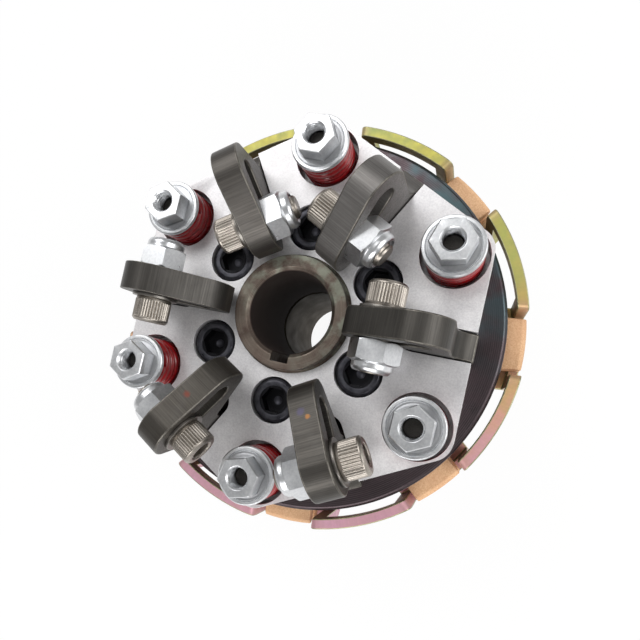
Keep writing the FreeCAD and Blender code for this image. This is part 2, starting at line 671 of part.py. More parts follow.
def make_spring(index):
    """One close-wound spring: its coils stand one on another from the pocket's floor to the nut. Those
    inside the pocket are plain."""
    body = new_body(f"spring_{index + 1}")
    outer, inner = size("spring_outer"), size("spring_outer") - size("wire_diameter")
    waist = outer - size("coil_swell")
    coils = int(size("coil_count"))
    rise = (size("pocket_depth") + size("spring_stand")) / coils
    hidden = int(size("pocket_depth") / rise)
    steps = [(outer, rise * (hidden - 0.5)), (waist, rise * hidden)]
    for i in range(hidden, coils):
        steps += [(outer, rise * (i + 0.5)), (waist, rise * (i + 1))]
    profile = sketch_on(body, "XZ_Plane", "coil_profile")
    path(profile, (inner, 0), (outer, 0), *steps, (inner, rise * coils), (inner, 0))
    coil = body.newObject("PartDesign::Revolution", "coils")
    coil.Profile = profile
    coil.ReferenceAxis = (origin(body, "Z_Axis"), [""])
    coil.Angle = 360.0
    body.Placement = between_stations(index, height(SPRING_CIRCLE), height(AT_TOP) - size("pocket_depth"))


def make_pressure_plate():
    """Round plate that the springs hold against the carrier plate and the toes push down."""
    body = new_body("pressure_plate", AT_PRESSURE)
    turned(body, "pressure_turning", [
        (RIB_RADIUS + " + pressure_play", "0"), (PRESSURE_RADIUS, "0"),
        (PRESSURE_RADIUS, "pressure_thickness - pressure_chamfer"),
        (PRESSURE_RADIUS + " - pressure_chamfer", "pressure_thickness"),
        (RIB_RADIUS + " + pressure_play", "pressure_thickness")])
    holes = sketch_on(body, "XY_Plane", "stud_thread_outline", turn=TURN / 2)
    circle(holes, "stud_radius + thread_clearance", along=SPRING_CIRCLE)
    thread = extruded(body, "stud_thread", holes, "pressure_thickness", cut=True, flip=True)
    patterned(body, "stud_threads", [thread], STATIONS)


def make_floater():
    """Plain steel plate between the friction discs, driven by the hub's ribs."""
    body = new_body("floater_plate", AT_FLOATER)
    inner = "hub_radius + rib_clearance"
    turned(body, "floater_turning", [
        (inner, "0"), (FLOATER_RADIUS, "0"), (FLOATER_RADIUS, "floater_thickness"),
        (inner, "floater_thickness")])
    notches = sketch_on(body, "XY_Plane", "notch_outline", turn=TURN / 2)
    rectangle(notches, "hub_radius - rib_height", RIB_RADIUS + " + rib_clearance",
              "rib_width / 2 + rib_clearance")
    notch = extruded(body, "notch", notches, "floater_thickness", cut=True, flip=True)
    patterned(body, "notches", [notch], STATIONS)


def between_ears(sketch, half_width, inner, outer):
    """The space between two neighbouring ears, from one radius to another, its sides parallel to the
    ears' and a half width off their middles."""
    step = math.tau / int(size("finger_count"))
    inner_swing = math.asin(half_width / inner)
    outer_swing = math.asin(half_width / outer)

    def at(radius, swing):
        return radius * math.cos(swing), radius * math.sin(swing)

    path(sketch, at(inner, inner_swing), at(outer, outer_swing),
         (*at(outer, step / 2), *at(outer, step - outer_swing)),
         at(inner, step - inner_swing),
         (*at(inner, step / 2), *at(inner, inner_swing)))


def make_friction_disc(label, level):
    """Friction disc: a ring with ears that reach out between the drum's fingers."""
    body = new_body(label, level)
    bore = RIB_RADIUS + " + disc_play"
    turned(body, "disc_turning", [
        (bore, "0"), (EAR_REACH + " - ear_edge", "0"), (EAR_REACH, "ear_edge"),
        (EAR_REACH, "disc_thickness - ear_edge"), (EAR_REACH + " - ear_edge", "disc_thickness"),
        (bore, "disc_thickness")])
    spaces = sketch_on(body, "XY_Plane", "space_outline", turn=EAR_ANGLE)
    between_ears(spaces, size("ear_width") / 2, height(DISC_RADIUS), height(EAR_REACH) + OVERCUT)
    space = extruded(body, "space", spaces, "disc_thickness", cut=True, flip=True)
    patterned(body, "ears", [space], int(size("finger_count")))


def make_drum():
    """Drum: a flat base and a wall that is cut into windowed fingers, with a slot for each ear."""
    body = new_body("drum", "base_height")
    bore = "boss_radius + fit_clearance"
    turned(body, "drum_turning", [
        (bore, "0"), ("drum_radius - base_bend", "0"), ("drum_radius", "base_bend"),
        ("drum_radius", DRUM_DEPTH), (DRUM_INNER, DRUM_DEPTH), (DRUM_INNER, "drum_base"),
        (bore, "drum_base")])
    leg = size("ear_width") / 2 + size("ear_play") + size("finger_leg")
    windows = sketch_on(body, "XY_Plane", "window_outline", turn=EAR_ANGLE)
    between_ears(windows, leg, height(BACK_RADIUS) - size("waist_inset"), size("drum_radius") + OVERCUT)
    window = extruded(body, "window", windows, DRUM_DEPTH + " - finger_bar", cut=True, flip=True)
    slots = sketch_on(body, "XY_Plane", "ear_slot_outline", "drum_base + slot_floor", EAR_ANGLE)
    rectangle(slots, DRUM_INNER + " - drum_wall", "drum_radius + drum_wall", "ear_width / 2 + ear_play")
    slot = extruded(body, "ear_slot", slots, DRUM_DEPTH, cut=True, flip=True)
    patterned(body, "fingers", [window, slot], int(size("finger_count")))


def make_sleeve():
    """Sprocket sleeve: teeth behind, a stop flange and a boss that carry the drum, and a nose that runs
    in the hub."""
    body = new_body("sprocket_sleeve")
    teeth = int(size("tooth_count"))
    half_step = math.pi / teeth
    pitch_radius = size("chain_pitch") / 2 / math.sin(half_step)
    tip_radius = size("chain_pitch") / 2 * (0.6 + 1 / math.tan(half_step))
    bore = BUSHING_OUTER + " + fit_clearance"
    drum_face = "base_height + drum_base"
    groove_end = drum_face + " + ring_thickness + fit_clearance"
    turned(body, "sleeve_turning", [
        (bore, "0"), ("tail_radius", "0"), ("tail_radius", "base_height - stop_thickness"),
        ("stop_radius", "base_height - stop_thickness"), ("stop_radius", "base_height"),
        ("boss_radius", "base_height"), ("boss_radius", drum_face), ("boss_radius - ring_groove", drum_face),
        ("boss_radius - ring_groove", groove_end), ("boss_radius", groove_end),
        ("boss_radius", drum_face + " + boss_reach"), ("sleeve_radius", drum_face + " + boss_reach"),
        ("sleeve_radius", SLEEVE_LENGTH), (bore, SLEEVE_LENGTH)])
    blank = sketch_on(body, "XY_Plane", "tooth_blank_outline", "sprocket_height")
    blank.addGeometry(Part.Circle(V(0, 0, 0), V(0, 0, 1), tip_radius), False)
    circle(blank, bore)
    extruded(body, "tooth_blank", blank, "tooth_width")
    roller = size("roller_radius")
    gap = (size("chain_pitch") - size("tooth_tip")) / 2
    seat_x = pitch_radius - roller * math.sin(math.radians(30))
    seat_y = roller * math.cos(math.radians(30))
    gullet = sketch_on(body, "XY_Plane", "gullet_outline", "sprocket_height")
    path(gullet, (tip_radius + OVERCUT, gap), (seat_x, seat_y),
         (pitch_radius - roller, 0, seat_x, -seat_y), (tip_radius + OVERCUT, -gap),
         (tip_radius + OVERCUT, gap))
    cut = extruded(body, "gullet", gullet, "tooth_width", cut=True, flip=True)
    patterned(body, "tooth_pattern", [cut], teeth)


def make_sleeve_pieces():
    """Bushing in the sleeve, thrust washer at its nose and retaining ring in front of the drum."""
    bushing = tube("drum_bushing", BUSHING_OUTER, BUSHING_INNER, SLEEVE_LENGTH + " - 2 * bushing_inset")
    bushing.setExpression("Placement.Base.z", cell("bushing_inset"))
    washer = tube("thrust_washer", NEST_RADIUS + " - thrust_inset", BUSHING_INNER + " + thrust_inset",
                  "thrust_thickness")
    washer.setExpression("Placement.Base.z", cell(SLEEVE_LENGTH))
    ring = new_body("retaining_ring", "base_height + drum_base")
    turned(ring, "ring_turning", [
        (RING_INNER, "0"), (RING_OUTER, "0"), (RING_OUTER, "ring_thickness"), (RING_INNER, "ring_thickness")])
    opening = sketch_on(ring, "XY_Plane", "ring_opening_outline")
    rectangle(opening, "0", "boss_radius + ring_width", "ring_opening / 2")
    extruded(ring, "ring_opening_cut", opening, "ring_thickness", cut=True, flip=True)


make_hub()
make_carrier_plate()
make_screws()
make_pins()
make_pressure_plate()
make_studs()
make_flanged_nuts()
for place in range(STATIONS):
    make_spring(place)
    make_lever(place)
    make_weight_bolt(place)
    make_weight_washer(place)
    make_weight_nut(place)
make_friction_disc("friction_disc_rear", AT_REAR_DISC)
make_floater()
make_friction_disc("friction_disc_front", AT_FRONT_DISC)
make_drum()
make_sleeve()
make_sleeve_pieces()
doc.recompute()

for item in doc.Objects:
    if "Invalid" in item.State or "Error" in item.State:
        raise RuntimeError(f"{item.Label} could not be built")
for part in parts:
    if part.Shape.isNull() or not part.Shape.isValid() or not part.Shape.Solids:
        raise RuntimeError(f"{part.Label} is not a sound solid")
os.makedirs("parts", exist_ok=True)
for part in parts:
    part.Shape.exportStep(os.path.join("parts", part.Label + ".step"))
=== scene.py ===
import math

import bmesh
import bpy
import numpy as np
from mathutils import Matrix, Vector


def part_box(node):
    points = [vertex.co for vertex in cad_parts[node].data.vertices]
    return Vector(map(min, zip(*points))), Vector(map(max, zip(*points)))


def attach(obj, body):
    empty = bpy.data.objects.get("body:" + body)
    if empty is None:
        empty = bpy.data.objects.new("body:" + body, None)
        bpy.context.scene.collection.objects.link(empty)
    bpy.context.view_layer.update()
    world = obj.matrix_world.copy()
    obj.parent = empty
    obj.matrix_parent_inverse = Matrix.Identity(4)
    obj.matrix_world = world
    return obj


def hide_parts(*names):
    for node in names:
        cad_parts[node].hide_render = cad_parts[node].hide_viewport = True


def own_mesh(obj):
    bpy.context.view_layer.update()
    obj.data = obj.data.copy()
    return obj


# A dry centrifugal disc clutch, seen from its lever side. Lengths are in millimetres until a mesh is
# made, and the shaft's axis is Z.

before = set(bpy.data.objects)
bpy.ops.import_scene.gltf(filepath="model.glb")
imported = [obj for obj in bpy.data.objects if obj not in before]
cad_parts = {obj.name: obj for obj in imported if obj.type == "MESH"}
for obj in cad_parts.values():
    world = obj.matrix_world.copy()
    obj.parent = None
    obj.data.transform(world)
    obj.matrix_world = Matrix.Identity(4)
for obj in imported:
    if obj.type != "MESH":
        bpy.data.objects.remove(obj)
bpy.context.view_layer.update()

MM = 0.001

# Points closer than this, in metres, become one: those of a piece's patches, and those of a CAD node
WELD = 2e-6
CAD_WELD = 1e-6

# Two faces that meet at more than this angle, in degrees, have a crease between them
CREASE = 32.0

# A CAD node's triangles that lie within this angle of each other, in degrees, become one face
SAME_FACE = 1.0

# The drum: middle of its finger nearest to +X, number of fingers, and rounding of their corners
FINGER_ANGLE = 27.7
FINGERS = 8
FINGER_ROUNDING = 1.8

# Lever pivots: their distance from the shaft and their height
PIVOT_CIRCLE = 41.0
PIVOT_HEIGHT = 57.0

# The camera, from the photograph: its position about the shaft, its turn and its lens
CAMERA_PLACE = (48.36, -14.42, 220.8)
CAMERA_SWING = (0.015, 0.357)
CAMERA_ROLL = 0.217
FOCAL_PIXELS = 603.9
MIDDLE_PIXEL = (250.7, 350.1)
FRAME_PIXELS = 640.0
SENSOR = 36.0

# Floor: half its side in metres, and how white it looks to the camera. World: its light on the object.
# Lamps: the point that they are aimed at, in metres
FLOOR_REACH = 3.0
FLOOR_GLOW = 0.94
WORLD_LIGHT = 0.4
LAMP_AIM = (0, 0, 0.04)


# Frame: where the CAD model has put things

def node_middle(node):
    """Middle of a node's box, in millimetres."""
    low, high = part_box(node)
    return np.array((low + high) / 2) / MM


def node_top(node):
    """Height of the top of a node's box, in millimetres."""
    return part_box(node)[1].z / MM


def basis(origin, along, up):
    """A 4 by 4 place whose x axis is near one direction and whose z axis is the other."""
    z = np.array(up, float) / np.linalg.norm(up)
    x = np.array(along, float) - z * np.dot(along, z)
    x /= np.linalg.norm(x)
    out = np.eye(4)
    out[:3, 0], out[:3, 1], out[:3, 2], out[:3, 3] = x, np.cross(z, x), z, origin
    return out


def moved(place, points):
    """Points carried from a piece's own place into the clutch's frame."""
    return points @ place[:3, :3].T + place[:3, 3]


def station(k):
    """Direction from the shaft to one of the six levers, of which the first is on +X."""
    swing = math.radians(60 * (k - 1))
    return np.array([math.cos(swing), math.sin(swing), 0])


SHAFT = basis((0, 0, 0), (1, 0, 0), (0, 0, 1))


# Meshes: a piece is one or more patches, each a grid of points over two parameters

def grid_faces(rows, columns, start, wrap):
    """Four corners for each cell of a grid, its columns joined round when wrap is set."""
    row, column = np.meshgrid(np.arange(rows - 1), np.arange(columns if wrap else columns - 1), indexing="ij")
    right = (column + 1) % columns
    corners = [row * columns + column, row * columns + right, (row + 1) * columns + right,
               (row + 1) * columns + column]
    return start + np.stack(corners, -1).reshape(-1, 4)


def sharpen(mesh, angle):
    """Smooth faces, with a crease wherever two of them meet at more than an angle in degrees."""
    mesh.polygons.foreach_set("use_smooth", np.ones(len(mesh.polygons), bool))
    mesh.set_sharp_from_angle(angle=math.radians(angle))


def keep_local(mesh, points):
    """Each point's place on its own piece, in millimetres, for the patterns of its finish."""
    layer = mesh.attributes.new("local", "FLOAT_VECTOR", "POINT")
    layer.data.foreach_set("vector", points.astype(np.float32).ravel())


def show(name, mesh, material, body, node):
    """Puts a mesh in the scene as a finished piece that rides on a body and stands for a CAD node."""
    piece = bpy.data.objects.new(name, mesh)
    bpy.context.collection.objects.link(piece)
    mesh.materials.append(material)
    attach(piece, body)
    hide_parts(node)
    return piece


def piece_of(name, made, material, body, node, crease=CREASE):
    """A closed mesh from grid patches, each with its own place in the clutch. A patch is (points, wrap).
    Each point keeps its place on its own patch, so that the finish is the same on all that are alike."""
    local, points, faces, start = [], [], [], 0
    for (patch, wrap), place in made:
        rows, columns = patch.shape[:2]
        local.append(patch.reshape(-1, 3))
        points.append(moved(place, local[-1]))
        faces.append(grid_faces(rows, columns, start, wrap))
        start += rows * columns
    mesh = bpy.data.meshes.new(name)
    mesh.from_pydata(np.concatenate(points) * MM, [], np.concatenate(faces))
    keep_local(mesh, np.concatenate(local))
    work = bmesh.new()
    work.from_mesh(mesh)
    bmesh.ops.remove_doubles(work, verts=work.verts, dist=WELD)
    bmesh.ops.recalc_face_normals(work, faces=work.faces)
    work.to_mesh(mesh)
    work.free()
    sharpen(mesh, crease)
    return show(name, mesh, material, body, node)


def rounded(corners, radius, steps=4):
    """A profile's corners each turned into a short curve: for each one, points of the quadratic through
    a point before it, the corner itself as control and a point after it. One more point on either side,
    2.5 times as far off, keeps the faces between the corners flat to the light. On a short side the
    curve takes two fifths at most, and the further point stays short of its middle."""
    corners = np.array(corners, float)
    t = np.linspace(0, 1, steps)[:, None]
    out = [corners[:1]]
    for before, here, after in zip(corners[:-2], corners[1:-1], corners[2:]):
        sides = np.stack([before - here, after - here])
        share = radius / np.maximum(np.linalg.norm(sides, axis=1, keepdims=True), 1e-9)
        start, end = here + sides * np.minimum(share, 0.4)
        further = here + sides * np.minimum(2.5 * share, 0.48)
        curve = (1 - t) ** 2 * start + 2 * t * (1 - t) * here + t ** 2 * end
        out += [further[:1], curve, further[1:]]
    return np.concatenate([*out, corners[-1:]])


def hexagon(swing, flat):
    """Distance to the side of a hexagon in each direction: half its width across flats over the cosine
    of the swing from the middle of the nearest flat."""
    nearest = (swing + math.pi / 6) % (math.pi / 3) - math.pi / 6
    return flat / np.cos(nearest)


def thread_wave(height, swing, pitch):
    """A wave from nought to one that climbs a pitch in a turn: half the sum of one and the cosine of the
    height over the pitch, as turns, less the swing."""
    return 0.5 + 0.5 * np.cos(math.tau * height / pitch - swing)


def lathe(profile, count, shape=None):
    """Profile of (radius, height) carried round the z axis: x and y are the radius times the cosine and
    sine of the swing. shape(radius, height, swing) may change the radius."""
    swing = np.linspace(0, math.tau, count, endpoint=False)
    height = np.meshgrid(profile[:, 1], swing, indexing="ij")[0]
    radius, swing = np.meshgrid(profile[:, 0], swing, indexing="ij")
    if shape:
        radius = shape(radius, height, swing)
    return np.stack([radius * np.cos(swing), radius * np.sin(swing), height], -1), True


def at_finger_corner(edge, top):
    """Whether an edge of the drum lies at its top and points at the shaft, within about 18 degrees."""
    first, second = (vertex.co for vertex in edge.verts)
    along = (second - first).normalized()
    out = Vector((first.x + second.x, first.y + second.y, 0)).normalized()
    return min(first.z, second.z) > top - 0.01 * MM and abs(along.dot(out)) > 0.95


def round_fingers(work):
    """Rounds the upper corners of the drum's fingers: their edges are bevelled to a radius."""
    top = node_top("drum") * MM
    corners = [edge for edge in work.edges if at_finger_corner(edge, top)]
    bmesh.ops.bevel(work, geom=corners, offset=FINGER_ROUNDING * MM, offset_type="OFFSET", segments=5,
                    profile=0.5, affect="EDGES")


def dressed(node, material, body, bevel, segments=2, edge=None, place=SHAFT):
    """A CAD node with its edges rounded: its mesh is copied, its loose triangles joined into whole faces,
    and its sharp edges bevelled. The rounded edges may have a finish of their own."""
    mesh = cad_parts[node].data.copy()
    mesh.materials.clear()
    work = bmesh.new()
    work.from_mesh(mesh)
    bmesh.ops.remove_doubles(work, verts=work.verts, dist=CAD_WELD)
    bmesh.ops.dissolve_limit(work, angle_limit=math.radians(SAME_FACE), verts=work.verts, edges=work.edges)
    if node == "drum":
        round_fingers(work)
    work.to_mesh(mesh)
    work.free()
    points = np.zeros(len(mesh.vertices) * 3, np.float32)
    mesh.vertices.foreach_get("co", points)
    keep_local(mesh, (points.reshape(-1, 3) / MM - place[:3, 3]) @ place[:3, :3])
    sharpen(mesh, CREASE)
    piece = show(node + "_finished", mesh, material, body, node)
    rounding = piece.modifiers.new("edges", "BEVEL")
    rounding.width = bevel * MM
    rounding.segments = segments
    rounding.limit_method = "ANGLE"
    rounding.angle_limit = math.radians(CREASE)
    rounding.use_clamp_overlap = True
    rounding.harden_normals = True
    if edge:
        mesh.materials.append(edge)
        rounding.material = 1


# Finishes: colours are given as seen, and turned into the renderer's linear light

def seen(code):
    """A colour given as six hexadecimal digits, in linear light."""
    parts = np.array([int(code[i:i + 2], 16) for i in (0, 2, 4)]) / 255
    linear = np.where(parts <= 0.04045, parts / 12.92, ((parts + 0.055) / 1.055) ** 2.4)
    return (*linear, 1.0)


class Wiring:
    """Short names for the nodes of one tree, each joined to what feeds it."""

    def __init__(self, tree):
        self.tree = tree

    def node(self, kind, inputs=None, **settings):
        """A node with its settings and inputs: a socket is linked, and anything else is a plain value."""
        made = self.tree.nodes.new("ShaderNode" + kind)
        for name, value in settings.items():
            setattr(made, name, value)
        for name, value in (inputs or {}).items():
            if isinstance(value, bpy.types.NodeSocket):
                self.tree.links.new(value, made.inputs[name])
            else:
                made.inputs[name].default_value = value
        return made

    def math(self, operation, a, b=0.0):
        return self.node("Math", {0: a, 1: b}, operation=operation).outputs[0]

    def flat(self, vector):
        """A vector without its part along z."""
        return self.node("VectorMath", {0: vector, 1: (1, 1, 0)}, operation="MULTIPLY").outputs[0]

    def reach(self, vector):
        """Distance from the z axis."""
        return self.node("VectorMath", {0: self.flat(vector)}, operation="LENGTH").outputs["Value"]

    def noise(self, vector, scale, detail=3.0, rough=0.55):
        return self.node("TexNoise", {"Vector": vector, "Scale": scale, "Detail": detail,
                                      "Roughness": rough}).outputs["Fac"]

    def span(self, value, low, high, to_low=0.0, to_high=1.0):
        """A value between two bounds carried in a straight line to two others, and held at its ends."""
        return self.node("MapRange", {"Value": value, "From Min": low, "From Max": high, "To Min": to_low,
                                      "To Max": to_high}).outputs["Result"]

    def blend(self, share, first, second):
        """From a first colour at nought to a second one at one."""
        return self.node("Mix", {0: share, 6: first, 7: second}, data_type="RGBA").outputs[2]

    def ramp(self, value, stops):
        """A colour for a value, from stops of (value, colour)."""
        made = self.node("ValToRGB", {"Fac": value})
        ramp = made.color_ramp
        ramp.elements[0].position, ramp.elements[0].color = stops[0]
        ramp.elements[1].position, ramp.elements[1].color = stops[-1]
        for place, colour in stops[1:-1]:
            ramp.elements.new(place).color = colour
        return made.outputs["Color"]


def new_group(name, inputs, outputs):
    """A shared effect: a node group with named sockets, and the wiring inside it."""
    tree = bpy.data.node_groups.new(name, "ShaderNodeTree")
    for label, kind, value in inputs:
        socket = tree.interface.new_socket(label, in_out="INPUT", socket_type="NodeSocket" + kind)
        if value is not None:
            socket.default_value = value
    for label, kind in outputs:
        tree.interface.new_socket(label, in_out="OUTPUT", socket_type="NodeSocket" + kind)
    wires = Wiring(tree)
    return tree, wires, tree.nodes.new("NodeGroupInput").outputs, tree.nodes.new("NodeGroupOutput").inputs


def make_tool_lines():
    """Fine lines left by a cutter or belt: noise that is drawn out along one direction."""
    tree, wires, given, out = new_group("tool_lines", [
        ("Vector", "Vector", None), ("Lines per mm", "Vector", (3.0, 0.05, 3.0)), ("Depth", "Float", 0.5)],
        [("Height", "Float"), ("Shade", "Float")])
    drawn = wires.node("VectorMath", {0: given["Vector"], 1: given["Lines per mm"]}, operation="MULTIPLY")
    fine = wires.noise(drawn.outputs[0], 1.0, 4.0, 0.7)
    broad = wires.noise(drawn.outputs[0], 0.23, 2.0)
    both = wires.math("ADD", wires.math("MULTIPLY", fine, 0.7), wires.math("MULTIPLY", broad, 0.3))
    wires.tree.links.new(wires.math("MULTIPLY", both, given["Depth"]), out["Height"])
    wires.tree.links.new(wires.span(both, 0.3, 0.7), out["Shade"])
    return tree


def make_turned_rings():
    """Rings left by a lathe: the sine of the distance from the z axis over the feed, as turns, with noise
    that depends on that distance and on the height alone."""
    tree, wires, given, out = new_group("turned_rings", [
        ("Vector", "Vector", None), ("Feed", "Float", 0.3), ("Depth", "Float", 0.5)],
        [("Height", "Float"), ("Shade", "Float")])
    height = wires.node("SeparateXYZ", {0: given["Vector"]}).outputs[2]
    reach = wires.reach(given["Vector"])
    turn = wires.math("DIVIDE", wires.math("MULTIPLY", reach, math.tau), given["Feed"])
    wave = wires.math("MULTIPLY", wires.math("SINE", turn), 0.25)
    section = wires.node("CombineXYZ", {0: reach, 1: height}).outputs[0]
    uneven = wires.noise(section, 2.6, 4.0, 0.75)
    both = wires.math("ADD", wave, uneven)
    wires.tree.links.new(wires.math("MULTIPLY", both, given["Depth"]), out["Height"])
    wires.tree.links.new(wires.span(both, 0.2, 0.8), out["Shade"])
    return tree


def make_grain():
    """Fine speckle over broad clouds: two sizes of noise."""
    tree, wires, given, out = new_group("grain", [
        ("Vector", "Vector", None), ("Fine", "Float", 6.0), ("Broad", "Float", 0.12)],
        [("Speckle", "Float"), ("Clouds", "Float"), ("Height", "Float")])
    speckle = wires.noise(given["Vector"], given["Fine"], 2.0, 0.6)
    clouds = wires.noise(given["Vector"], given["Broad"], 4.0, 0.6)
    wires.tree.links.new(wires.span(speckle, 0.3, 0.7), out["Speckle"])
    wires.tree.links.new(wires.span(clouds, 0.32, 0.68), out["Clouds"])
    wires.tree.links.new(speckle, out["Height"])
    return tree


TOOL_LINES = make_tool_lines()
TURNED_RINGS = make_turned_rings()
GRAIN = make_grain()


# Height, in millimetres, of a bump whose pattern runs from nought to one
BUMP_DEPTH = 0.05


class Finish:
    """A material in the making: its shader, its own place in millimetres and the shared effects."""

    def __init__(self, name, metallic, **constant):
        self.material = bpy.data.materials.new(name)
        self.material.use_nodes = True
        self.wires = Wiring(self.material.node_tree)
        self.shader = self.material.node_tree.nodes["Principled BSDF"]
        self.shader.inputs["Metallic"].default_value = metallic
        for label, value in constant.items():
            self.shader.inputs[label.replace("_", " ")].default_value = value
        self.place = self.wires.node("Attribute", attribute_name="local").outputs["Vector"]

    def effect(self, tree, **inputs):
        """A shared effect at the piece's own place. An input's name has underscores for its spaces."""
        values = {label.replace("_", " "): value for label, value in inputs.items()}
        return self.wires.node("Group", {"Vector": self.place, **values}, node_tree=tree).outputs

    def feed(self, socket, label):
        self.wires.tree.links.new(socket, self.shader.inputs[label])

    def colour(self, socket):
        self.feed(socket, "Base Color")

    def roughness(self, share, low, high):
        self.feed(self.wires.span(share, 0.0, 1.0, low, high), "Roughness")

    def bump(self, height, strength):
        made = self.wires.node("Bump", {"Height": height, "Strength": strength, "Distance": BUMP_DEPTH * MM})
        self.feed(made.outputs["Normal"], "Normal")

    def speckled(self, grain, light, dark):
        """A colour between two, by the mean of the grain's speckle and clouds."""
        share = self.wires.math("MULTIPLY", self.wires.math("ADD", grain["Speckle"], grain["Clouds"]), 0.5)
        return self.wires.blend(share, seen(dark), seen(light))

    def stained(self, base, mask, strength, stain):
        """A colour with a stain laid over it where a mask says, no stronger than a share."""
        return self.wires.blend(self.wires.math("MULTIPLY", mask, strength), base, seen(stain))

    def near(self, spot, reach):
        """One inside a distance of a spot on the piece, nought beyond it, with a soft edge."""
        gap = self.wires.node("VectorMath", {0: self.place, 1: spot}, operation="DISTANCE").outputs["Value"]
        uneven = self.wires.math("MULTIPLY", self.wires.noise(self.place, 0.9), reach)
        return self.wires.span(self.wires.math("ADD", gap, uneven), reach * 0.9, reach * 1.5, 1.0, 0.0)


def blackened_steel(name, light, dark, spots):
    """Heat-blackened bar: belt lines across the lever, pale rubs and, on some, spots of rust."""
    finish = Finish(name, 0.75)
    lines = finish.effect(TOOL_LINES, Lines_per_mm=(2.6, 0.05, 2.6), Depth=1.0)
    grain = finish.effect(GRAIN, Fine=4.0, Broad=0.16)
    base = finish.wires.blend(lines["Shade"], seen(dark), seen(light))
    base = finish.stained(base, grain["Clouds"], 0.3, "555350")
    for spot, stain, reach in spots:
        base = finish.stained(base, finish.near(spot, reach), 0.85, stain)
    finish.colour(base)
    finish.roughness(lines["Shade"], 0.5, 0.33)
    finish.bump(lines["Height"], 0.35)
    return finish.material


def plain_metal(name, light, dark, rough, metallic=1.0, fine=5.0, broad=0.14, strength=0.12):
    """Satin metal: fine speckle in colour and height, with broad clouds in its gloss."""
    finish = Finish(name, metallic)
    grain = finish.effect(GRAIN, Fine=fine, Broad=broad)
    finish.colour(finish.speckled(grain, light, dark))
    finish.roughness(grain["Clouds"], *rough)
    finish.bump(grain["Height"], strength)
    return finish.material


def flange_zinc(name, light, dark, rough):
    """Bright zinc with painted shade: darker round the foot of the hexagon, where the flats meet the flange.
    """
    finish = Finish(name, 1.0)
    wires = finish.wires
    grain = finish.effect(GRAIN, Fine=1.6, Broad=0.14)
    height = wires.node("SeparateXYZ", {0: finish.place}).outputs[2]
    # Painted shade: low on the nut and near the flats, the colour is darkened towards 6f7074.
    low = wires.span(height, 3.0, 1.7)
    foot = wires.math("MULTIPLY", low, wires.span(wires.reach(finish.place), 6.35, 6.15))
    finish.colour(finish.stained(finish.speckled(grain, light, dark), foot, 0.6, "6f7074"))
    finish.roughness(grain["Clouds"], *rough)
    finish.bump(grain["Height"], 0.04)
    return finish.material


def black_oxide(name, light, dark):
    """Blackened screw steel. Painted shade: the socket holds no light, so its walls and floor are coloured
    nearly black, with a painted grey highlight at the drill point."""
    finish = Finish(name, 0.8)
    wires = finish.wires
    grain = finish.effect(GRAIN, Fine=4.0, Broad=0.3)
    reach = wires.reach(finish.place)
    painted_shade_inside = wires.span(reach, SCREW_SOCKET + 0.25, SCREW_SOCKET - 0.15)
    drill_point_highlight = wires.span(reach, 1.3, 1.1)
    base = wires.blend(grain["Clouds"], seen(dark), seen(light))
    # Painted shade: the socket is coloured nearly black (17171a).
    base = wires.blend(painted_shade_inside, base, seen("17171a"))
    # Painted highlight: a grey spot (55555c) at the drill point.
    finish.colour(wires.blend(drill_point_highlight, base, seen("55555c")))
    finish.roughness(wires.math("MAXIMUM", painted_shade_inside, grain["Clouds"]), 0.26, 0.5)
    finish.bump(grain["Height"], 0.1)
    return finish.material


def lathed_metal(name, light, dark, rough, feed=0.28, metallic=1.0, stain=None, sheen=None, bore=None):
    """Turned metal: rings about the shaft and clouds of stain. Towards the upper right, between two distances
    from the shaft, come patches of painted sheen. A bore is matte and has painted shade, which colours it
    dark."""
    finish = Finish(name, metallic)
    wires = finish.wires
    rings = finish.effect(TURNED_RINGS, Feed=feed, Depth=1.0)
    grain = finish.effect(GRAIN, Fine=3.0, Broad=0.2)
    dullness = grain["Clouds"]
    base = wires.blend(rings["Shade"], seen(dark), seen(light))
    if stain:
        base = finish.stained(base, grain["Clouds"], 0.7, stain)
    if sheen:
        # Painted sheen: patches of a tint laid towards the upper right.
        tint, near, far, scale = sheen
        side = wires.node("VectorMath", {0: finish.place, 1: UPPER_RIGHT}, operation="DOT_PRODUCT")
        patch = wires.span(wires.noise(finish.place, scale), 0.44, 0.62, 0.0, 0.8)
        share = wires.math("MULTIPLY", wires.span(side.outputs["Value"], near, far), patch)
        base = wires.blend(share, base, seen(tint))
    if bore:
        # Painted shade: the bore is coloured dark (3f3532).
        painted_shade_inside = wires.span(wires.reach(finish.place), bore + 0.3, bore + 0.1)
        base = finish.stained(base, painted_shade_inside, 0.95, "3f3532")
        dullness = wires.span(painted_shade_inside, 0.0, 1.0, dullness, 0.98)
    finish.colour(base)
    finish.roughness(dullness, *rough)
    finish.bump(rings["Height"], 0.3)
    return finish.material


